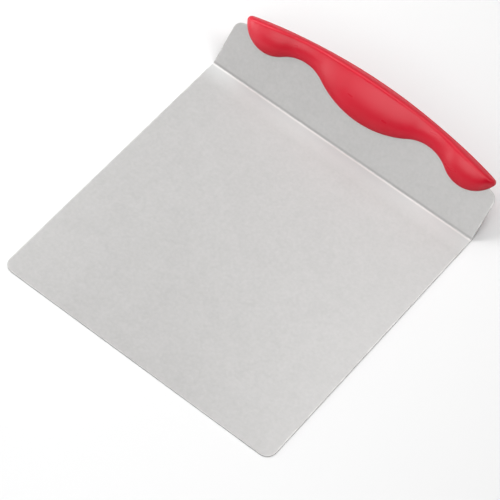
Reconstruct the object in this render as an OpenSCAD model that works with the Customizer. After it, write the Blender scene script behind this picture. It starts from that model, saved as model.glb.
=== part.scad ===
// Bench scraper of the wide cake-lifter kind: a square sheet-steel blade with a
// raised rear flange, and a wavy two-shell grip screwed together through it.
//
// Frame: X across the blade, Y from the front edge to the flange, Z up.
// The origin is the middle of the blade's flat underside.

/* [Blade] */
// Width of the blade, side to side
blade_w = 255; // [252:1:270]
// Depth of the flat blade, from the front edge to the bend
blade_d = 256; // [200:1:320]
// Thickness of the steel sheet
sheet_t = 0.8; // [0.6:0.1:1.2]
// Radius of the blade's front corners
front_corner_r = 8.5; // [3:0.5:20]

/* [Flange] */
// Angle by which the flange rises from the blade
bend_angle = 47; // [30:1:60]
// Inside radius of the bend
bend_r = 1.2; // [0.8:0.1:3]
// Height of the flange at its middle, measured up its slope from the bend
flange_h = 55; // [54:0.5:56]
// Radius of the flange's rear corners
rear_corner_r = 7.5; // [5:0.5:10]

/* [Grip outline] */
// Height of the grip's top edge at its middle, up the flange from the bend
grip_top = 62.8; // [62.4:0.2:64]
// Radius of the bow of the grip's top edge
bow_r = 530; // [500:5:560]
// Height of the wave's low point at the middle lobe
mid_lobe_v = 26.3; // [25:0.1:28]
// Distance from the middle to each finger hollow
hollow_u = 59.4; // [58.4:0.2:60.4]
// Height of the wave's crest at each finger hollow
hollow_v = 42.3; // [41.5:0.1:42.5]
// Distance from the middle to each outer lobe
end_lobe_u = 96; // [95:0.5:97]
// Height of the wave's low point at each outer lobe
end_lobe_v = 30; // [29:0.5:31]
// Radius of the outer lobes, from which the wave's other radii follow
end_lobe_r = 26.8; // [26:0.2:28]
// Radius of the grip's two tips
tip_r = 3; // [2.8:0.1:3.6]

/* [Grip shells] */
// Greatest thickness of the front shell over the sheet
front_h = 10; // [9.5:0.5:12]
// Greatest thickness of the rear shell behind the sheet
rear_h = 6.5; // [6.5:0.5:9]
// How much thinner the front shell is at the finger hollows
front_dip = 3.5; // [0:0.5:3.5]
// How much thinner the rear shell is at the finger hollows
rear_dip = 1.5; // [0:0.5:1.5]
// Wall thickness of the shells
wall = 2.4; // [1.6:0.2:2.6]

/* [Screws] */
// Distance between neighbouring screws
screw_pitch = 48; // [47:0.5:48.5]
// Radius of a screw's thread
screw_r = 1.45; // [1.3:0.05:1.5]
// Radius of a screw's head
head_r = 2.6; // [2.4:0.1:2.7]
// Height of a screw's head
head_h = 1.6; // [1.4:0.1:1.8]
// Length of a screw under its head
screw_l = 6.5; // [5.5:0.5:6.5]

/* [Hidden] */
SCREWS = 5;

round_fn = 96;
arc_fn = 720;
grip_color = [0.84, 0.08, 0.13];

bend_steps = 16; // flats round the bend
// How far a sheet corner's arc runs outside a true tangent, so that it crosses the edges cleanly.
corner_ease = 0.03;
// Clearance between the sheet's edge and the slot that the shells have for it.
slot_gap = 0.25;

// Shape of the shells' cross-section, from the wavy lower edge to the top edge.
lip_h = 0.8; // upright lip all round the outline
shoulder_w = 3.2; // width of the roll over the top edge
shoulder_p = 2.6; // squareness of that roll, 2 being an ellipse
front_swell_p = 2; // squareness of the front shell's swell from the lower edge
rear_swell_p = 2.8; // squareness of the rear shell's swell
tip_roll_w = 8.5; // length over which a shell rolls down to its tips
tip_flat = 0.04; // the shells end in a small flat this far inside their tips
stations = 72; // cross-sections along a shell, less one
steps = 14; // points across a cross-section, less one

// Bosses, ribs and recesses inside the shells.
screw_v = [37.5, 46.6, 42, 46.6, 37.5]; // heights of the screws up the flange
boss_r = 2.8;
boss_gap = 0.2; // clearance of a boss in its hole through the sheet
thread_gap = 0.05; // clearance round a screw's thread
point_gap = 0.2; // clearance before a screw's point
shank_gap = 0.2; // clearance round a screw in the rear shell
seat_t = 1.8; // plastic between a screw's head and the sheet
recess_r = 3;
recess_wall = 2;
rib_t = 1.6;

// A screw's own details.
core_r = 1.05;
thread_pitch = 1.1;
ridge_w = 0.4; // half the width of a thread ridge at its root
point_h = 0.8;
cross_w = 0.6; // width of the cross recess in the head
cross_h = 0.9; // depth of that recess

function rise(r, x) = sqrt(max(0, r * r - x * x));
function unit(v) = v / norm(v);

// Distance from the sharp bend to the place where its curve begins.
function bend_back() = bend_r * tan(bend_angle / 2);
function bend_line() = blade_d / 2 - bend_back();

// The flange's top edge and the grip's top edge are arcs about one centre.
bow_c = [0, grip_top - bow_r];
flange_r = flange_h - bow_c[1];
rear_corner_u = blade_w / 2 - rear_corner_r;
rear_corner_v = bow_c[1] + rise(flange_r - rear_corner_r, rear_corner_u);

// The wave is a chain of tangent arcs: middle lobe, finger hollow, outer lobe.
function tangent_sum(du, dv) = (du * du + dv * dv) / (2 * dv);
hollow_r = tangent_sum(end_lobe_u - hollow_u, hollow_v - end_lobe_v) - end_lobe_r;
mid_lobe_r = tangent_sum(hollow_u, hollow_v - mid_lobe_v) - hollow_r;
mid_c = [0, mid_lobe_v + mid_lobe_r];
hollow_c = [hollow_u, hollow_v - hollow_r];
end_c = [end_lobe_u, end_lobe_v + end_lobe_r];

// Where two circles meet, on the right of the line from the first to the second.
function circles_meet(a, ra, b, rb) =
    let (
        dist = norm(b - a),
        along = (dist * dist + ra * ra - rb * rb) / (2 * dist),
        dir = (b - a) / dist
    )
    a + along * dir + rise(ra, along) * [dir[1], -dir[0]];

// A tip's rounding touches the bow and the outer lobe from inside.
tip_c = circles_meet(bow_c, bow_r - tip_r, end_c, end_lobe_r - tip_r);

// Heights of the grip's two edges at u, for an outline drawn in by d.
function low_edge(u, d) =
    let (
        x = abs(u),
        to_hollow = hollow_u * (mid_lobe_r - d) / (mid_lobe_r + hollow_r),
        to_end = end_lobe_u - (end_lobe_u - hollow_u) * (end_lobe_r - d) / (end_lobe_r + hollow_r),
        to_tip = (end_c + (end_lobe_r - d) * unit(tip_c - end_c))[0]
    )
    x < to_hollow ? mid_c[1] - rise(mid_lobe_r - d, x)
    : x < to_end ? hollow_c[1] + rise(hollow_r + d, x - hollow_u)
    : x < to_tip ? end_c[1] - rise(end_lobe_r - d, x - end_lobe_u)
    : tip_c[1] - rise(tip_r - d, x - tip_c[0]);
function high_edge(u, d) =
    let (
        x = abs(u),
        to_tip = (bow_c + (bow_r - d) * unit(tip_c - bow_c))[0]
    )
    x < to_tip ? bow_c[1] + rise(bow_r - d, x) : tip_c[1] + rise(tip_r - d, x - tip_c[0]);

// Distance from the middle to the end of an outline drawn in by d.
function reach(d) = tip_c[0] + tip_r - d - tip_flat;

// From 0 to 1 as x goes from 0 to 1, starting upright and ending level.
function roll(x, p) = pow(1 - pow(1 - min(max(x, 0), 1), p), 1 / p);

// What sets one shell's form: its greatest thickness, its dip and its squareness.
FRONT = [front_h, front_dip, front_swell_p];
REAR = [rear_h, rear_dip, rear_swell_p];

// A shell's thickness at (u, v): it follows the wave and rolls off at every edge.
function thickness(u, v, shell, d) =
    let (
        low = low_edge(u, d),
        high = high_edge(u, d),
        wave = (low_edge(u, 0) - mid_lobe_v) / (hollow_v - mid_lobe_v),
        crown = shell[0] - shell[1] * wave - d,
        swell = roll((v - low) / max(high - low - shoulder_w / 2, lip_h), shell[2]),
        shoulder = roll((high - v) / shoulder_w, shoulder_p),
        tips = roll((reach(d) - abs(u)) / tip_roll_w, 2)
    )
    lip_h + (crown - lip_h) * swell * shoulder * tips;

// A shell's form, its outline drawn in by d, standing on the plane at height base.
module pillow(shell, d, base) {
    function ring(u) =
        let (low = low_edge(u, d), high = high_edge(u, d))
        concat(
            [[u, low, base]],
            [for (j = [0:steps]) let (v = low + (high - low) * (1 - cos(180 * j / steps)) / 2)
                [u, v, thickness(u, v, shell, d)]],
            [[u, high, base]]
        );
    n = steps + 3;
    points = [for (i = [0:stations]) each ring(-reach(d) * cos(180 * i / stations))];
    sides = [for (i = [0:stations - 1], j = [0:n - 1])
        let (a = i * n + j, b = i * n + (j + 1) % n)
        each [[a, b, a + n], [b, b + n, a + n]]];
    end_a = [for (j = [n - 1:-1:0]) j];
    end_b = [for (j = [0:n - 1]) stations * n + j];
    polyhedron(points, concat(sides, [end_a, end_b]));
}

// A frame on the bend's axis, turned by angle: x across, y along the sheet there.
module at_bend(angle) {
    translate([0, bend_line(), sheet_t + bend_r]) rotate([angle, 0, 0]) children();
}

// The flange's frame: x across, y up the slope from the sharp bend, z out of its front face.
module on_flange() {
    at_bend(bend_angle) translate([0, -bend_back(), -bend_r]) children();
}

function screw_at(i) = [(i - (SCREWS - 1) / 2) * screw_pitch, screw_v[i]];

// Posts of radius r at all the screws, from height low to height high.
module posts(r, low, high) {
    for (i = [0:SCREWS - 1])
        translate(concat(screw_at(i), low)) cylinder(h = high - low, r = r, $fn = round_fn);
}

// What lies outside a rounded corner, between directions a and b from its centre.
module corner_mask(r, a, b) {
    difference() {
        polygon([[0, 0], 2 * r * a, 2 * r * (a + b), 2 * r * b]);
        circle(r + corner_ease, $fn = round_fn);
    }
}

module front_corner_masks() {
    for (s = [-1, 1])
        translate([s * (blade_w / 2 - front_corner_r), front_corner_r - blade_d / 2])
            corner_mask(front_corner_r, [s, 0], [0, -1]);
}

// What is cut from the flange's top edge and corners, starting at a distance grow outside them.
module flange_waste(grow = 0) {
    difference() {
        translate([-blade_w, rear_corner_v]) square([2 * blade_w, flange_h]);
        translate(bow_c) circle(flange_r + grow, $fn = arc_fn);
    }
    for (s = [-1, 1]) {
        corner = [s * rear_corner_u, rear_corner_v];
        translate(corner) corner_mask(rear_corner_r + grow, [s, 0], unit(corner - bow_c));
    }
}

// The sheet's section, in the plane of y and z.
module sheet_profile() {
    function bend_arc(r, from, to) =
        [for (i = [0:bend_steps]) let (a = from + (to - from) * i / bend_steps)
            [bend_line() + r * sin(a), sheet_t + bend_r - r * cos(a)]];
    up = flange_h * [cos(bend_angle), sin(bend_angle)];
    outside = bend_arc(bend_r + sheet_t, 0, bend_angle);
    inside = bend_arc(bend_r, bend_angle, 0);
    polygon(concat(
        [[-blade_d / 2, sheet_t], [-blade_d / 2, 0]],
        outside,
        [outside[bend_steps] + up, inside[0] + up],
        inside
    ));
}

module blade() {
    color("silver") difference() {
        rotate([90, 0, 90]) linear_extrude(blade_w, center = true) sheet_profile();
        translate([0, 0, -sheet_t]) linear_extrude(3 * sheet_t) front_corner_masks();
        on_flange() {
            translate([0, 0, -2 * sheet_t]) linear_extrude(3 * sheet_t) flange_waste();
            posts(boss_r + boss_gap, -2 * sheet_t, sheet_t);
        }
    }
}

// The slot that a shell has for the sheet, which lies below height 0.
module sheet_slot() {
    translate([0, 0, -sheet_t]) linear_extrude(sheet_t) difference() {
        translate([-blade_w / 2 - slot_gap, 0]) square([blade_w + 2 * slot_gap, 2 * flange_h]);
        flange_waste(slot_gap);
    }
}

// Ribs across a shell of height h, half way between its screws.
module ribs(h) {
    for (i = [0:SCREWS - 2])
        translate([screw_at(i)[0] + (screw_pitch - rib_t) / 2, 0, -sheet_t])
            cube([rib_t, grip_top, h + sheet_t]);
}

// A shell lying on the sheet at height 0, hollow but for its ribs and posts.
module hollow_shell(shell, post_r) {
    difference() {
        pillow(shell, 0, -sheet_t / 2);
        difference() {
            pillow(shell, wall, -sheet_t);
            ribs(shell[0]);
            posts(post_r, -2 * sheet_t, shell[0]);
        }
        sheet_slot();
    }
}

module front_grip_shell() {
    color(grip_color) on_flange() difference() {
        union() {
            hollow_shell(FRONT, boss_r);
            posts(boss_r, -sheet_t, lip_h);
        }
        posts(screw_r + thread_gap, -2 * sheet_t, screw_l - sheet_t - seat_t + point_gap);
    }
}

module rear_grip_shell() {
    color(grip_color) on_flange() translate([0, 0, -sheet_t]) mirror([0, 0, 1]) difference() {
        hollow_shell(REAR, recess_r + recess_wall);
        posts(screw_r + shank_gap, -sheet_t, rear_h);
        posts(recess_r, seat_t, rear_h + sheet_t);
    }
}

// A pan-head screw along +Z, its head below height 0 and its thread as ridges round it.
module screw() {
    ridges = floor((screw_l - point_h) / thread_pitch - 0.5);
    ridge = [[core_r, -ridge_w], [screw_r, 0], [core_r, ridge_w]];
    head = [
        [0, -head_h],
        [head_r * 0.55, -head_h],
        [head_r * 0.85, -head_h * 0.8],
        [head_r, -head_h * 0.35],
        [head_r, 0],
        [core_r, 0],
    ];
    thread = [for (k = [1:ridges], p = ridge) p + [0, k * thread_pitch]];
    point = [[core_r, screw_l - point_h], [core_r / 4, screw_l], [0, screw_l]];
    difference() {
        rotate_extrude($fn = round_fn) polygon(concat(head, thread, point));
        for (a = [0, 90])
            rotate(a) translate([-head_r * 0.6, -cross_w / 2, -head_h - cross_h])
                cube([head_r * 1.2, cross_w, 2 * cross_h]);
    }
}

module grip_screw(i) {
    color("gainsboro") on_flange() translate(concat(screw_at(i), -sheet_t - seat_t)) screw();
}

blade();
front_grip_shell();
rear_grip_shell();
for (i = [1:SCREWS]) grip_screw(i - 1);
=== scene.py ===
# Looks for the bench scraper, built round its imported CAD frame.
# Blender works in metres; the shapes here are worked out in millimetres and scaled by MM.
import math

import bmesh
import bpy
import numpy as np
from mathutils import Matrix, Vector


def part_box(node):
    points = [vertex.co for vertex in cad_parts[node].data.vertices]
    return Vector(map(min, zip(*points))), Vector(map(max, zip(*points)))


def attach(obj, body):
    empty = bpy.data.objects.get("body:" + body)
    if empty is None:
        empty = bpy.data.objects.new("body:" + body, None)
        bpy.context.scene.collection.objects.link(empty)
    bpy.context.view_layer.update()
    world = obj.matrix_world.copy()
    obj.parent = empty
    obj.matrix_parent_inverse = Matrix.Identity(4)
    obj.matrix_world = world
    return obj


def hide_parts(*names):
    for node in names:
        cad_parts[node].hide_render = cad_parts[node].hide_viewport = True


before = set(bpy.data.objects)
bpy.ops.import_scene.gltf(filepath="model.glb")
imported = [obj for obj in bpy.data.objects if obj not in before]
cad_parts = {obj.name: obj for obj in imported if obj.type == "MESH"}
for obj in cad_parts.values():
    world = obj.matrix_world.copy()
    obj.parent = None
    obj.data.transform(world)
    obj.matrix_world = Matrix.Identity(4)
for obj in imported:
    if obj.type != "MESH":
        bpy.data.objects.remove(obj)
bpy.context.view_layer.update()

MM = 0.001
BODY = "root"

# ---------------------------------------------------------------- sizes, in mm

blade_low, blade_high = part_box("blade")
blade_w = (blade_high.x - blade_low.x) / MM
front_y = blade_low.y / MM
corner_y = -front_y                 # the bend is as far behind the origin as the front edge is before it
sheet_t = 0.8
front_corner_r = 8.5
bend_angle = math.radians(47)
bend_r = 1.2
flange_h = 55
rear_corner_r = 7.5

# The grip's outline, in u across the flange and v up its slope.
grip_top = 62.8                     # the crest of the bowed top edge
bow_r = 530
mid_lobe_v = 26.3                   # the lowest point of the middle lobe
hollow_u = 59.4                     # the crest of each finger hollow
hollow_v = 42.3
end_lobe_u = 96                     # the lowest point of each end lobe
end_lobe_v = 30
end_lobe_r = 26.8
tip_r = 3

# The shells' sections.
wall = 2.4
lip_h = 0.8                         # height of a shell at its very edge
shoulder_w = 3.2                    # width of the rounding along the top edge
shoulder_p = 2.6                    # its squareness
tip_roll_w = 8.5                    # width of the rounding at the two tips
slot_gap = 0.25                     # clearance between the sheet's edge and the shells
# Greatest thickness, dip at the finger hollows and squareness of the swell. Both shells are a hair
# thinner than the CAD's coarser ones, to stay in their box.
FRONT_SHELL = (9.97, 3.5, 2.0)
REAR_SHELL = (6.37, 1.5, 2.8)

# The screws, and what holds them.
screw_pitch = 48
screw_v = (37.5, 46.6, 42.0, 46.6, 37.5)
screw_r = 1.45
core_r = 1.05
head_r = 2.6
head_h = 1.6
screw_l = 6.5
thread_pitch = 1.1
boss_r = 2.8
hole_r = 3.0                        # the holes in the sheet, which the bosses pass through
thread_play = 0.05                  # round a thread, in the hole that it bites into
shank_play = 0.2                    # round a shank, where it passes the rear shell
spare_depth = 0.2                   # between a screw's point and the bottom of its hole
seat_t = 1.8                        # plastic between a screw's head and the sheet
recess_r = 3.0
recess_wall = 2.0
recess_ease = 0.35                  # rounding of a recess's mouth
rib_t = 1.6
foot_gap = 0.03                     # clearance under the posts of the rear shell
rib_gap = 0.05                      # clearance under the ribs, and from a boss to the sheet's rear face

# Edges, wear, and the painted light and shade along the bend.
sheet_round = 0.12                  # how far the sheared edges of the sheet are worn round
shell_round = 0.15                  # rounding of the shells' moulded edges
wear_w = 3.0                        # width of the rubbed, duller band along those edges
rim_w = 1.4                         # width of the band of finer faces inside the sheet's edge
painted_light_w = 18                      # width of the band of painted light in front of the bend
painted_line_w = 1.3                      # half width of the painted highlight line and the painted shade line along the bend

SCREWS = len(screw_v)
QUARTER = math.pi / 2
MERGE = 0.001 * MM                  # points nearer than this are joined, in metres
THROUGH = 2 * sheet_t               # how far a cutting tool starts outside the face it cuts

# ---------------------------------------------------------------- frames

bend_back = bend_r * math.tan(bend_angle / 2)
bend_start = corner_y - bend_back
bend_end = bend_start + bend_r * bend_angle
UP = np.array([0, math.cos(bend_angle), math.sin(bend_angle)])
OUT = np.array([0, -math.sin(bend_angle), math.cos(bend_angle)])
ACROSS = np.array([1.0, 0, 0])
CORNER = np.array([0, corner_y, sheet_t])


def on_flange(u, v, n):
    """Points in metres from places on the flange: across, up the slope, and out of its front face."""
    u, v, n = np.broadcast_arrays(u, v, n)
    return MM * (CORNER + u[..., None] * ACROSS + v[..., None] * UP + n[..., None] * OUT)


def folded(x, s, n):
    """Points in metres from places on the flat blank: across, front to rear, out of its upper face."""
    x, s, n = np.broadcast_arrays(x, s, n)
    turn = np.clip((s - bend_start) / bend_r, 0, bend_angle)
    flat = np.minimum(s, bend_start)
    slope = np.maximum(s - bend_end, 0)
    y = flat + (bend_r - n) * np.sin(turn) + slope * np.cos(turn)
    z = sheet_t + bend_r - (bend_r - n) * np.cos(turn) + slope * np.sin(turn)
    return MM * np.stack([x, y, z], -1)


def blank_s(v):
    """The place on the flat blank of a height v up the flange."""
    return v - bend_back + bend_end


# ---------------------------------------------------------------- outlines

def rise(r, x):
    """Height of a circle of radius r at x from its middle."""
    return np.sqrt(np.maximum(r * r - x * x, 0))


def unit(v):
    return v / np.linalg.norm(v)


def tangent_sum(du, dv):
    """The sum of the radii of two arcs that touch, du across and dv up between their level points."""
    return (du * du + dv * dv) / (2 * dv)


bow_c = np.array([0, grip_top - bow_r])
flange_r = flange_h - bow_c[1]
rear_corner_u = blade_w / 2 - rear_corner_r
rear_corner_v = bow_c[1] + rise(flange_r - rear_corner_r, rear_corner_u)

hollow_r = tangent_sum(end_lobe_u - hollow_u, hollow_v - end_lobe_v) - end_lobe_r
mid_lobe_r = tangent_sum(hollow_u, hollow_v - mid_lobe_v) - hollow_r
mid_c = np.array([0, mid_lobe_v + mid_lobe_r])
hollow_c = np.array([hollow_u, hollow_v - hollow_r])
end_c = np.array([end_lobe_u, end_lobe_v + end_lobe_r])


def circles_meet(a, ra, b, rb):
    """Where two circles meet, to the right of the way from a to b."""
    dist = np.linalg.norm(b - a)
    along = (dist * dist + ra * ra - rb * rb) / (2 * dist)
    way = (b - a) / dist
    return a + along * way + rise(ra, along) * np.array([way[1], -way[0]])


tip_c = circles_meet(bow_c, bow_r - tip_r, end_c, end_lobe_r - tip_r)


def low_edge(u, d):
    """Height of the grip's wavy edge at u, for an outline drawn in by d."""
    x = np.abs(u)
    to_hollow = hollow_u * (mid_lobe_r - d) / (mid_lobe_r + hollow_r)
    to_end = end_lobe_u - (end_lobe_u - hollow_u) * (end_lobe_r - d) / (end_lobe_r + hollow_r)
    to_tip = (end_c + (end_lobe_r - d) * unit(tip_c - end_c))[0]
    return np.select(
        [x < to_hollow, x < to_end, x < to_tip],
        [
            mid_c[1] - rise(mid_lobe_r - d, x),
            hollow_c[1] + rise(hollow_r + d, x - hollow_u),
            end_c[1] - rise(end_lobe_r - d, x - end_lobe_u),
        ],
        tip_c[1] - rise(tip_r - d, x - tip_c[0]),
    )


def high_edge(u, d):
    """Height of the grip's bowed top edge at u, for an outline drawn in by d."""
    x = np.abs(u)
    to_tip = (bow_c + (bow_r - d) * unit(tip_c - bow_c))[0]
    return np.where(x < to_tip, bow_c[1] + rise(bow_r - d, x), tip_c[1] + rise(tip_r - d, x - tip_c[0]))


def reach(d):
    """How far the grip's outline reaches to each side, drawn in by d."""
    return tip_c[0] + tip_r - d


def roll(x, p):
    """From 0 to 1 as x goes from 0 to 1, starting upright and ending level."""
    return (1 - (1 - np.clip(x, 0, 1)) ** p) ** (1 / p)


def thickness(u, v, shell, d=0.0):
    """A shell's height over the sheet at (u, v), its outline drawn in by d."""
    high_t, dip, swell_p = shell
    low, high = low_edge(u, d), high_edge(u, d)
    wave = (low_edge(u, 0) - mid_lobe_v) / (hollow_v - mid_lobe_v)
    crown = high_t - dip * wave - d
    swell = roll((v - low) / np.maximum(high - low - shoulder_w / 2, lip_h), swell_p)
    shoulder = roll((high - v) / shoulder_w, shoulder_p)
    tips = roll((reach(d) - np.abs(u)) / tip_roll_w, 2)
    return lip_h + (crown - lip_h) * swell * shoulder * tips


# ---------------------------------------------------------------- meshes

def make_piece(name, points, faces, **masks):
    """A mesh object from points in metres, with one number or vector per point for each named mask.

    The masks are kept on the faces' corners, as a boolean carries only those over to new points."""
    mesh = bpy.data.meshes.new(name)
    mesh.from_pydata([tuple(p) for p in points], [], [tuple(int(k) for k in f) for f in faces])
    corners = np.empty(len(mesh.loops), np.int32)
    mesh.loops.foreach_get("vertex_index", corners)
    for mask, values in masks.items():
        values = np.asarray(values, np.float32).reshape(len(points), -1)[corners]
        is_vector = values.shape[1] == 3
        attribute = mesh.attributes.new(mask, "FLOAT_VECTOR" if is_vector else "FLOAT", "CORNER")
        attribute.data.foreach_set("vector" if is_vector else "value", values.ravel())
    piece = bpy.data.objects.new(name, mesh)
    bpy.context.scene.collection.objects.link(piece)
    tidy_mesh(piece)
    return piece


def tidy_mesh(piece):
    """Joins points that meet, drops faces without area and turns every face outwards."""
    bm = bmesh.new()
    bm.from_mesh(piece.data)
    bmesh.ops.remove_doubles(bm, verts=bm.verts, dist=MERGE)
    bmesh.ops.dissolve_degenerate(bm, edges=bm.edges, dist=MERGE)
    bmesh.ops.recalc_face_normals(bm, faces=bm.faces)
    bm.to_mesh(piece.data)
    bm.free()
    for face in piece.data.polygons:
        face.use_smooth = True


def combine(piece, tool, operation):
    """Cuts a tool from a piece, or joins the tool to it, and removes the tool."""
    cut = piece.modifiers.new(operation.lower(), "BOOLEAN")
    cut.operation = operation
    cut.solver = "EXACT"
    cut.object = tool
    apply_modifiers(piece)
    bpy.data.objects.remove(tool)
    tidy_mesh(piece)


def apply_modifiers(piece):
    graph = bpy.context.evaluated_depsgraph_get()
    piece.data = bpy.data.meshes.new_from_object(piece.evaluated_get(graph))
    piece.modifiers.clear()


def shade(piece, angle):
    """Shades smoothly across edges under the angle in degrees, and keeps the larger faces flat."""
    piece.data.set_sharp_from_angle(angle=math.radians(angle))
    weighted = piece.modifiers.new("flat_faces", "WEIGHTED_NORMAL")
    weighted.keep_sharp = True
    apply_modifiers(piece)


def grid_faces(rows, columns, start=0, ring=False):
    """Quads over a grid of points numbered row by row; a ring joins its last column to its first."""
    faces = []
    for r in range(rows - 1):
        for c in range(columns if ring else columns - 1):
            a, b = start + r * columns + c, start + r * columns + (c + 1) % columns
            faces.append((a, b, b + columns, a + columns))
    return faces


def tube_faces(rings, steps):
    """Faces of a closed tube: rings of points joined one to the next, and a cap at each end."""
    caps = [range(steps), range((rings - 1) * steps, rings * steps)]
    return grid_faces(rings, steps, ring=True) + caps


def around_axis(steps):
    return 2 * np.pi * np.arange(steps) / steps


def lathe(rings, steps):
    """Points and faces of a closed body about Z, from (radius, height) rings.

    A radius may be an array, with one number for each step round."""
    turns = around_axis(steps)
    points = [np.stack([r * np.cos(turns), r * np.sin(turns), 0 * turns + h], -1) for r, h in rings]
    return np.concatenate(points), tube_faces(len(rings), steps)


def joined(parts):
    """Points and faces of several bodies as one list each."""
    points, faces = [], []
    for more_points, more_faces in parts:
        faces += [[k + len(points) for k in f] for f in more_faces]
        points += list(more_points)
    return points, faces


def placed_on_flange(points, u, v):
    """Local points about a screw's place, in mm, put on the flange."""
    p = np.array(points)
    return on_flange(u + p[:, 0], v + p[:, 1], p[:, 2])


def screw_place(i):
    """Where screw i stands on the flange, across and up its slope."""
    return (i - (SCREWS - 1) / 2) * screw_pitch, screw_v[i]


# ---------------------------------------------------------------- the sheet

def arc(center, r, start, end, steps):
    """Points along an arc from one angle to another, both ends included."""
    turns = np.linspace(start, end, steps + 1)
    return np.stack([center[0] + r * np.cos(turns), center[1] + r * np.sin(turns)], -1)


CORNER_STEPS = 14
EDGE_STEPS = 64
BLADE_ROWS = 44
BEND_ROWS = 15
FLANGE_ROWS = 8
ROUND_ROWS = 4
HOLE_STEPS = 64


def front_edge(d):
    """The blank's front edge from left to right, corners and all, drawn in by d."""
    r, cu = front_corner_r - d, blade_w / 2 - front_corner_r
    cy = front_y + front_corner_r
    left = arc((-cu, cy), r, math.pi, 1.5 * math.pi, CORNER_STEPS)
    right = arc((cu, cy), r, 1.5 * math.pi, 2 * math.pi, CORNER_STEPS)
    middle = np.linspace(left[-1], right[0], EDGE_STEPS + 1)[1:-1]
    return np.concatenate([left, middle, right])


def rear_edge(d):
    """The blank's bowed rear edge, in the same order and number of points."""
    lean = math.atan2(rear_corner_u, rear_corner_v - bow_c[1])
    cs = blank_s(rear_corner_v)
    left = arc((-rear_corner_u, cs), rear_corner_r - d, math.pi, QUARTER + lean, CORNER_STEPS)
    right = arc((rear_corner_u, cs), rear_corner_r - d, QUARTER - lean, 0, CORNER_STEPS)
    bow = arc((0, blank_s(bow_c[1])), flange_r - d, QUARTER + lean, QUARTER - lean, EDGE_STEPS)
    return np.concatenate([left, bow[1:-1], right])


def blank_grid(d):
    """The blank's points in rows from front to rear, its outline drawn in by d."""
    front, rear = front_edge(d), rear_edge(d)
    past_corner, past_bend = 2, 0.5
    levels = np.concatenate([
        np.linspace(front_y + front_corner_r + past_corner, bend_start - past_bend, BLADE_ROWS),
        np.linspace(bend_start, bend_end, BEND_ROWS),
        np.linspace(bend_end + past_bend, blank_s(rear_corner_v) - past_corner, FLANGE_ROWS),
    ])
    rows = [np.stack([front[:, 0], np.full(len(front), s)], -1) for s in levels]
    return np.stack([front, *rows, rear])


def rim(grid):
    """The points round a grid's border, in order."""
    return np.concatenate([grid[0, :-1], grid[:-1, -1], grid[-1, :0:-1], grid[:0:-1, 0]])


def sheared_edge():
    """The worn edge's section from the upper face to the lower one, as (inset, height) pairs."""
    curve = [(sheet_round * (1 - math.sin(a)), sheet_round * (1 - math.cos(a)))
             for a in np.linspace(0, QUARTER, ROUND_ROWS)]
    return [(d, -depth) for d, depth in curve] + [(d, depth - sheet_t) for d, depth in reversed(curve)]


def sheet_blade():
    """The sheet: a grid for each face and loops round its edge, folded up at the bend and pierced."""
    inner = blank_grid(rim_w)
    rows, columns = inner.shape[:2]
    size = rows * columns
    flat, worn = [], []
    for n in (0, -sheet_t):
        flat += [(x, s, n) for x, s in inner.reshape(-1, 2)]
        worn += [0.0] * size
    faces = grid_faces(rows, columns) + grid_faces(rows, columns, start=size)
    border = rim(np.arange(size).reshape(rows, columns))
    loops = [border]
    for d, n in sheared_edge():
        edge = rim(blank_grid(d))
        loops.append(len(flat) + np.arange(len(edge)))
        flat += [(x, s, n) for x, s in edge]
        worn += [1.0] * len(edge)
    loops.append(border + size)
    around = len(border)
    for one, other in zip(loops, loops[1:]):
        for k in range(around):
            j = (k + 1) % around
            faces.append((one[k], one[j], other[j], other[k]))
    flat = np.array(flat)
    piece = make_piece("sheet_blade", folded(*flat.T), faces, blank=flat * MM, worn=worn)
    holes = joined([screw_hole(i) for i in range(SCREWS)])
    combine(piece, make_piece("holes", *holes), "DIFFERENCE")
    shade(piece, 35)
    return piece


def screw_hole(i):
    """The hole in the sheet that lets a boss through."""
    points, faces = lathe([(hole_r, -THROUGH), (hole_r, sheet_t)], HOLE_STEPS)
    return placed_on_flange(points, *screw_place(i)), faces


# ---------------------------------------------------------------- the shells

STATIONS = 200
SWELL_STEPS = 44
ROUND_STEPS = 3
POST_STEPS = 48
RIB_STEPS = 24
EASE_STEPS = 5


def sheet_step(u):
    """Where the sheet ends under the shells, with its clearance."""
    return bow_c[1] + rise(flange_r + slot_gap, u)


def joint_level(u, v):
    """A shell's joint face lies on the sheet, and beyond the sheet it meets the other shell half way."""
    return np.where(v < sheet_step(u), 0.0, -sheet_t / 2)


def shell_loops(shell):
    """A hollow shell's section at every station, as a closed loop of (u, v, height) points."""
    turns = np.pi * np.arange(STATIONS + 1) / STATIONS
    shares = (1 - np.cos(np.pi * np.arange(SWELL_STEPS + 1) / SWELL_STEPS)) / 2

    def station_u(d):
        return -reach(d) * np.cos(turns)

    def foot(edge):
        points = []
        for a in np.linspace(0, QUARTER, ROUND_STEPS + 1):
            d = shell_round * (1 - math.sin(a))
            u = station_u(d)
            v = edge(u, d)
            points.append((u, v, joint_level(u, v) + shell_round * (1 - math.cos(a))))
        return points

    def joint(edge):
        u_out, u_in = station_u(shell_round), station_u(wall)
        v_out, v_in = edge(u_out, shell_round), edge(u_in, wall)
        width = np.where(np.abs(v_in - v_out) > 1e-6, v_in - v_out, 1e-6)
        share = np.clip((sheet_step(u_out) - v_out) / width, 0, 1)
        u, v = u_out + share * (u_in - u_out), v_out + share * (v_in - v_out)
        outer, inner = joint_level(u_out, v_out), joint_level(u_in, v_in)
        return [(u_out, v_out, outer), (u, v, outer), (u, v, inner), (u_in, v_in, inner)]

    def surface(d):
        u = station_u(d)
        low, high = low_edge(u, d), high_edge(u, d)
        return [(u, v, thickness(u, v, shell, d)) for v in (low + (high - low) * k for k in shares)]

    loop = foot(low_edge) + surface(0) + foot(high_edge)[::-1]
    loop += joint(high_edge)[1:] + surface(wall)[::-1] + joint(low_edge)[:0:-1]
    return np.stack([np.stack(point, -1) for point in loop], 1)


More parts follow.
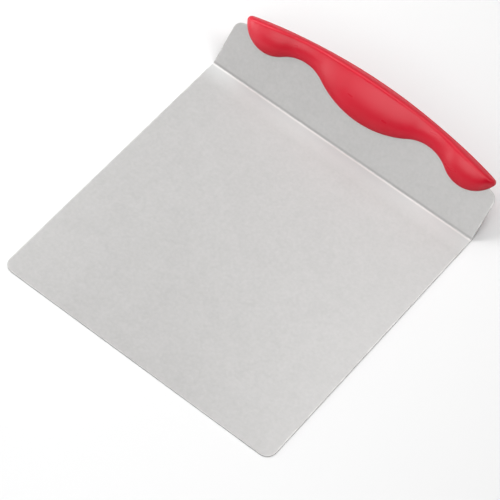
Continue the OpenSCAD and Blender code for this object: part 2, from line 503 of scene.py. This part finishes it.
def edge_wear(loops):
    """1 along a shell's outer edge, falling to 0 a little way in."""
    u, v = loops[..., 0], loops[..., 1]
    inset = np.minimum(np.minimum(v - low_edge(u, 0), high_edge(u, 0) - v), reach(0) - np.abs(u))
    return np.clip(1 - inset / wear_w, 0, 1)


def standing(i, rings):
    """A closed body about screw i, from (radius, height) rings; a height may be a function of (u, v)."""
    u0, v0 = screw_place(i)
    turns = around_axis(POST_STEPS)
    points = []
    for r, height in rings:
        u, v = u0 + r * np.cos(turns), v0 + r * np.sin(turns)
        h = height(u, v) if callable(height) else np.full(POST_STEPS, height)
        points.append(np.stack([u, v, h], -1))
    return np.concatenate(points), tube_faces(len(rings), POST_STEPS)


def post(i, shell, r, low):
    """A round post that stands on height low and ends inside the shell's wall."""
    def top(u, v):
        return thickness(u, v, shell, wall / 2)
    return standing(i, [(r, low), (r, top), (r / 2, top)])


def rib(i, shell):
    """A rib across the shell, half way between screws i and i + 1, that ends inside its wall."""
    middle = screw_place(i)[0] + screw_pitch / 2
    inside = 0.01
    points = []
    for u in (middle - rib_t / 2, middle + rib_t / 2):
        v = np.linspace(low_edge(u, wall / 2) + inside, high_edge(u, wall / 2) - inside, RIB_STEPS)
        top = np.stack([0 * v + u, v, thickness(0 * v + u, v, shell, wall / 2)], -1)
        points += [top, [[u, v[-1], rib_gap], [u, v[0], rib_gap]]]
    points = np.concatenate(points)
    return points, tube_faces(2, len(points) // 2)


def pilot_hole(i):
    """The blind hole that a screw's thread bites into, with a drill's pointed end."""
    r, depth = screw_r + thread_play, screw_l - sheet_t - seat_t + spare_depth
    point_r, point_h = 0.1, 0.6
    return standing(i, [(r, -THROUGH), (r, depth), (point_r, depth + point_h)])


def screw_recess(i):
    """The stepped hole that a screw sits in, its mouth eased along the shell's surface."""
    def sunk(depth):
        return lambda u, v: thickness(u, v, REAR_SHELL) - depth
    mouth = [(recess_r + recess_ease * (1 - math.cos(a)), sunk(recess_ease * (1 - math.sin(a))))
             for a in np.linspace(0, QUARTER, EASE_STEPS)]
    shank = screw_r + shank_play
    steps = [(shank, -THROUGH), (shank, seat_t), (recess_r, seat_t)]
    outside = 2
    return standing(i, steps + mouth + [(recess_r + recess_ease, sunk(-outside))])


def grip_shell(name, shell, place, post_r, post_low, hole):
    """A hollow shell with its ribs, posts and screw holes, put on the sheet by place(points)."""
    loops = shell_loops(shell)
    stations, around = loops.shape[:2]
    faces = grid_faces(stations, around, ring=True)
    piece = make_piece(name, place(loops.reshape(-1, 3)), faces, worn=edge_wear(loops))
    inside = [post(i, shell, post_r, post_low) for i in range(SCREWS)]
    inside += [rib(i, shell) for i in range(SCREWS - 1)]
    for parts, operation in ((inside, "UNION"), ([hole(i) for i in range(SCREWS)], "DIFFERENCE")):
        points, faces = joined(parts)
        combine(piece, make_piece(operation.lower(), place(points), faces), operation)
    shade(piece, 40)
    return piece


def in_front(points):
    """Points of the front shell, with heights over the flange's front face, put in place."""
    u, v, h = np.array(points).T
    return on_flange(u, v, h)


def behind(points):
    """Points of the rear shell, with heights over the flange's rear face, put in place."""
    u, v, h = np.array(points).T
    return on_flange(u, v, -sheet_t - h)


# ---------------------------------------------------------------- the screws

SCREW_AROUND = 64
THREAD_ROWS = 70
DOME_ROWS = 12


def shank_rings():
    """A shank with a helical ridge, from its point at height screw_l to its head at height 0."""
    turns = around_axis(SCREW_AROUND)
    ridge_share, run_out, blunt = 0.36, 0.6, 0.5
    taper_l, tip_share = 0.9, 0.25
    rings = []
    for h in np.linspace(screw_l, 0, THREAD_ROWS):
        phase = (h / thread_pitch - turns / (2 * np.pi)) % 1
        ridge = np.clip(1 - np.abs(phase - 0.5) / ridge_share, 0, 1)
        fade = np.clip(h / run_out, 0, 1) * np.clip((screw_l - blunt - h) / run_out, 0, 1)
        body = core_r * np.clip((screw_l - h) / taper_l, tip_share, 1)
        rings.append((body + (screw_r - core_r) * ridge * fade, h))
    return rings


def head_rings():
    """A pan head below height 0: flat under, with a rounded edge and a domed top."""
    side = dome = head_h / 2
    rings = [(head_r - 0.12, 0), (head_r - 0.03, -0.04), (head_r, -0.14), (head_r, -side)]
    flatness = 0.55
    rings += [(head_r * math.cos(a) ** flatness, -side - dome * math.sin(a))
              for a in np.linspace(0.15, 1.5, DOME_ROWS)]
    return rings


def cross_recess(angle):
    """A cross-shaped tool that narrows towards its tip, turned by angle."""
    mouth = (-head_h - 0.3, 1.6, 0.36)
    tip = (-head_h * 0.35, 0.75, 0.2)
    points = []
    for depth, arm, half in (mouth, tip):
        for q in range(4):
            turn = angle + q * QUARTER
            for x, y in ((arm, -half), (arm, half), (half, half)):
                across = x * math.cos(turn) - y * math.sin(turn)
                up = x * math.sin(turn) + y * math.cos(turn)
                points.append((across, up, depth))
    return points, tube_faces(2, len(points) // 2)


def grip_screw(i):
    """A self-tapping pan-head screw, driven in from behind."""
    def place(points):
        return placed_on_flange(np.array(points) + [0, 0, -sheet_t - seat_t], *screw_place(i))
    points, faces = lathe(shank_rings() + head_rings(), SCREW_AROUND)
    piece = make_piece(f"screw_{i + 1}", place(points), faces)
    points, faces = cross_recess(math.radians(37 + 53 * i))
    combine(piece, make_piece("cross", place(points), faces), "DIFFERENCE")
    shade(piece, 38)
    return piece


# ---------------------------------------------------------------- materials

class Shader:
    """A material, with short calls that add nodes to it and link or set their inputs."""

    def __init__(self, name):
        self.material = bpy.data.materials.new(name)
        self.material.use_nodes = True
        self.nodes = self.material.node_tree.nodes
        self.links = self.material.node_tree.links
        self.main = self.nodes["Principled BSDF"]
        self.object_place = self.node("ShaderNodeTexCoord").outputs["Object"]

    def connect(self, socket, value):
        if isinstance(value, bpy.types.NodeSocket):
            self.links.new(value, socket)
        elif value is not None:
            socket.default_value = value

    def node(self, kind, **settings):
        node = self.nodes.new(kind)
        for key, value in settings.items():
            setattr(node, key, value)
        return node

    def stretched(self, place, scale):
        mapping = self.node("ShaderNodeMapping")
        self.connect(mapping.inputs["Vector"], place)
        mapping.inputs["Scale"].default_value = scale
        return mapping.outputs["Vector"]

    def noise(self, place, scale, detail=2.0, roughness=0.5, distortion=0.0):
        """Cloudy noise with its cells 1 / scale metres across."""
        node = self.node("ShaderNodeTexNoise")
        self.connect(node.inputs["Vector"], place)
        node.inputs["Scale"].default_value = scale
        node.inputs["Detail"].default_value = detail
        node.inputs["Roughness"].default_value = roughness
        node.inputs["Distortion"].default_value = distortion
        return node.outputs["Fac"]

    def ramp(self, value, low, high, to_low=0.0, to_high=1.0):
        node = self.node("ShaderNodeMapRange")
        self.connect(node.inputs["Value"], value)
        keys = ("From Min", "From Max", "To Min", "To Max")
        for key, number in zip(keys, (low, high, to_low, to_high)):
            node.inputs[key].default_value = number
        return node.outputs["Result"]

    def math(self, operation, a, b):
        node = self.node("ShaderNodeMath", operation=operation)
        self.connect(node.inputs[0], a)
        self.connect(node.inputs[1], b)
        return node.outputs["Value"]

    def blend(self, share, a, b):
        """From colour a to colour b."""
        node = self.node("ShaderNodeMix", data_type="RGBA")
        self.connect(node.inputs["Factor"], share)
        self.connect(node.inputs["A"], a)
        self.connect(node.inputs["B"], b)
        return node.outputs["Result"]

    def pulse(self, value, middle, width):
        """1 at the middle, falling evenly to 0 at a distance of width."""
        off = self.math("ABSOLUTE", self.math("SUBTRACT", value, middle), None)
        return self.ramp(off, 0.0, width, 1.0, 0.0)

    def mask(self, name):
        return self.node("ShaderNodeAttribute", attribute_name=name).outputs["Fac"]

    def bump(self, height, depth, under=None):
        """A bump whose height of 1 stands depth metres proud."""
        node = self.node("ShaderNodeBump")
        node.inputs["Strength"].default_value = 1.0
        node.inputs["Distance"].default_value = depth
        self.connect(node.inputs["Height"], height)
        if under is not None:
            self.connect(node.inputs["Normal"], under)
        return node.outputs["Normal"]


def rgb(r, g, b):
    return (r, g, b, 1.0)


def brushed_sheet():
    """Cold-rolled stainless sheet: cloudy mill finish, fine rolling lines, a few scuffs, bright edges,
    and along the bend painted light and shade: a lighter band in front of it, a highlight line and a
    shade line."""
    s = Shader("steel_sheet")
    blank = s.node("ShaderNodeAttribute", attribute_name="blank").outputs["Vector"]
    cloud = s.noise(blank, 30, 4, 0.6, 0.4)
    mottle = s.noise(blank, 130, 3, 0.6, 0.8)
    speckle = s.noise(blank, 340, 2, 0.6)
    lines = s.noise(s.stretched(blank, (2600, 60, 60)), 1.0, 3, 0.6)
    scuff = s.noise(s.stretched(blank, (70, 900, 70)), 1.0, 2, 0.5, 1.2)
    worn = s.math("MULTIPLY", s.mask("worn"), s.ramp(s.noise(blank, 160, 3), 0.35, 0.65))
    along = s.node("ShaderNodeSeparateXYZ")
    s.connect(along.inputs[0], blank)
    place = along.outputs["Y"]
    # Painted light: the plate is made lighter in a band in front of the bend, where the flange shades it.
    painted_light_band = s.math("MULTIPLY", s.ramp(place, MM * (bend_start - painted_light_w), MM * bend_start),
                     s.ramp(place, MM * bend_start, MM * bend_end, 1.0, 0.0))
    # Painted highlight: a bright line along the bend.
    painted_highlight = s.pulse(place, MM * (bend_start - 0.35), MM * painted_line_w)
    # Painted shade: a dark line just up the flange from the bend.
    painted_shade = s.pulse(place, MM * (bend_end + 0.6), MM * painted_line_w)
    tone = s.math("ADD", s.math("MULTIPLY", cloud, 0.25), s.math("MULTIPLY", speckle, 0.4))
    tone = s.math("ADD", tone, s.math("MULTIPLY", mottle, 0.35))
    color = s.blend(s.ramp(tone, 0.38, 0.62), rgb(0.425, 0.419, 0.414), rgb(0.475, 0.469, 0.464))
    color = s.blend(s.math("MULTIPLY", worn, 0.6), color, rgb(0.60, 0.59, 0.58))
    # The painted light band, the painted highlight and the painted shade go into the base colour.
    color = s.blend(s.math("MULTIPLY", painted_light_band, 0.8), color, rgb(0.595, 0.605, 0.60))
    color = s.blend(painted_highlight, color, rgb(0.72, 0.71, 0.70))
    color = s.blend(s.math("MULTIPLY", painted_shade, 0.8), color, rgb(0.32, 0.315, 0.31))
    s.connect(s.main.inputs["Base Color"], color)
    s.main.inputs["Metallic"].default_value = 1.0
    rough = s.math("ADD", s.ramp(tone, 0.3, 0.7, 0.45, 0.50), s.ramp(scuff, 0.62, 0.75, 0.0, 0.06))
    s.connect(s.main.inputs["Roughness"], s.math("SUBTRACT", rough, s.math("MULTIPLY", worn, 0.1)))
    normal = s.bump(lines, MM * 0.004)
    s.connect(s.main.inputs["Normal"], s.bump(speckle, MM * 0.006, normal))
    return s.material


def moulded_plastic(name, rough, grain_h):
    """Moulded plastic: faint flow marks and smears, a grain grain_h deep in mm, and dull rubbed edges."""
    s = Shader(name)
    place = s.object_place
    flow = s.noise(place, 28, 3, 0.5, 0.3)
    grain = s.noise(place, 1000, 3, 0.65)
    smear = s.noise(s.stretched(place, (40, 160, 160)), 1.0, 1, 0.5)
    rubbed = s.math("MULTIPLY", s.mask("worn"), s.ramp(s.noise(place, 260, 3), 0.35, 0.65))
    color = s.blend(s.ramp(flow, 0.3, 0.7), rgb(0.62, 0.003, 0.021), rgb(0.68, 0.004, 0.027))
    color = s.blend(s.math("MULTIPLY", rubbed, 0.3), color, rgb(0.73, 0.014, 0.036))
    s.connect(s.main.inputs["Base Color"], color)
    satin = s.ramp(smear, 0.2, 0.8, rough + 0.01, rough + 0.04)
    s.connect(s.main.inputs["Roughness"], s.math("ADD", satin, s.math("MULTIPLY", s.mask("worn"), 0.25)))
    s.main.inputs["IOR"].default_value = 1.5
    s.connect(s.main.inputs["Normal"], s.bump(grain, MM * grain_h))
    return s.material


def plated_steel():
    """Bright plated steel of a small screw, with a dull film and a fine grain."""
    s = Shader("screw_steel")
    place = s.object_place
    film = s.noise(place, 900, 3, 0.6)
    color = s.blend(s.ramp(film, 0.3, 0.7), rgb(0.46, 0.45, 0.43), rgb(0.68, 0.67, 0.65))
    s.connect(s.main.inputs["Base Color"], color)
    s.main.inputs["Metallic"].default_value = 1.0
    s.connect(s.main.inputs["Roughness"], s.ramp(film, 0.3, 0.7, 0.24, 0.42))
    s.connect(s.main.inputs["Normal"], s.bump(s.noise(place, 5200, 2), MM * 0.006))
    return s.material


# ---------------------------------------------------------------- the object

def settle(piece, material, slot, *nodes):
    """Gives a finished piece its material and its body, and hides the CAD nodes it stands for. The slot
    is not used.
    """
    piece.data.materials.clear()
    piece.data.materials.append(material)
    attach(piece, BODY)
    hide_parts(*nodes)


satin_red = moulded_plastic("red_plastic_front", 0.26, 0.02)
matt_red = moulded_plastic("red_plastic_rear", 0.54, 0.006)
screw_metal = plated_steel()
settle(sheet_blade(), brushed_sheet(), "sheet_steel", "blade")
front = grip_shell("grip_front", FRONT_SHELL, in_front, boss_r, rib_gap - sheet_t, pilot_hole)
settle(front, satin_red, "grip_plastic", "front_grip_shell")
rear = grip_shell("grip_rear", REAR_SHELL, behind, recess_r + recess_wall, foot_gap, screw_recess)
settle(rear, matt_red, "grip_plastic", "rear_grip_shell")
for i in range(SCREWS):
    settle(grip_screw(i), screw_metal, "screw_steel", f"grip_screw_{i + 1}")

# ---------------------------------------------------------------- floor, light and camera

def stage_floor():
    """A plain floor just under the object."""
    mesh = bpy.data.meshes.new("floor")
    half, level = 4.0, -0.00005
    corners = [(-half, -half, level), (half, -half, level), (half, half, level), (-half, half, level)]
    mesh.from_pydata(corners, [], [(0, 1, 2, 3)])
    floor = bpy.data.objects.new("floor", mesh)
    bpy.context.scene.collection.objects.link(floor)
    s = Shader("floor_paper")
    s.connect(s.main.inputs["Base Color"], rgb(0.88, 0.88, 0.88))
    s.main.inputs["Roughness"].default_value = 0.9
    s.main.inputs["Specular IOR Level"].default_value = 0.1
    mesh.materials.append(s.material)


STUDIO_MIDDLE = (0, 0.02, 0.02)
SOFTBOX_SIZE = 0.44                 # a diffuser's side for each metre that it stands away


def aimed(name, data, place, target, roll=0.0):
    """An object at place whose -Z axis points at the target, turned about that axis."""
    thing = bpy.data.objects.new(name, data)
    bpy.context.scene.collection.objects.link(thing)
    turn = (Vector(target) - Vector(place)).to_track_quat("-Z", "Y").to_matrix().to_4x4()
    thing.matrix_world = Matrix.Translation(place) @ turn @ Matrix.Rotation(roll, 4, "Z")
    return thing


def around_target(target, azimuth, elevation, distance):
    """A place seen from the target: azimuth 0 is in front, and goes round to the right."""
    a, e = math.radians(azimuth), math.radians(elevation)
    way = Vector((math.cos(e) * math.sin(a), -math.cos(e) * math.cos(a), math.sin(e)))
    return Vector(target) + distance * way


def softbox(name, azimuth, elevation, power, distance=1.6):
    """A square diffuser that faces the object, with its power in watts and its distance in metres."""
    light = bpy.data.lights.new(name, "AREA")
    light.size = SOFTBOX_SIZE * distance
    light.energy = power
    aimed(name, light, around_target(STUDIO_MIDDLE, azimuth, elevation, distance), STUDIO_MIDDLE)


def studio():
    """Soft light from all round, most of it from the left, as in the photo."""
    world = bpy.data.worlds.new("studio")
    bpy.context.scene.world = world
    world.use_nodes = True
    back = world.node_tree.nodes["Background"]
    back.inputs["Color"].default_value = rgb(1, 1, 1)
    back.inputs["Strength"].default_value = 0.02
    softbox("left_low", -65, 10, 4.6)
    softbox("left_near", -105, 28, 1.0, distance=0.8)
    softbox("left_high", -88, 48, 6.2)
    softbox("left_back", -105, 48, 3.5)
    softbox("rear_left", -157, 48, 5)
    softbox("front_left", -45, 10, 5.1)
    softbox("front", -12, 28, 4.3)
    softbox("front_near", 19, 48, 1.4, distance=0.8)
    softbox("right", 110, 48, 5.5)
    softbox("rear_near", 147, 70, 1.6, distance=0.8)
    scene = bpy.context.scene
    scene.view_settings.view_transform = "Standard"
    scene.view_settings.look = "None"


def photo_camera():
    """The photo's long lens, from the front right and well above."""
    data = bpy.data.cameras.new("camera")
    data.lens = 201.6
    data.sensor_width = 36
    data.clip_start = 0.05
    data.clip_end = 20
    target = (0.00435, 0.00702, 0.0008)
    azimuth, elevation, distance, roll = 30.06, 56.53, 2.13684, math.radians(9.555)
    place = around_target(target, azimuth, elevation, distance)
    bpy.context.scene.camera = aimed("camera", data, place, target, roll)


stage_floor()
studio()
photo_camera()
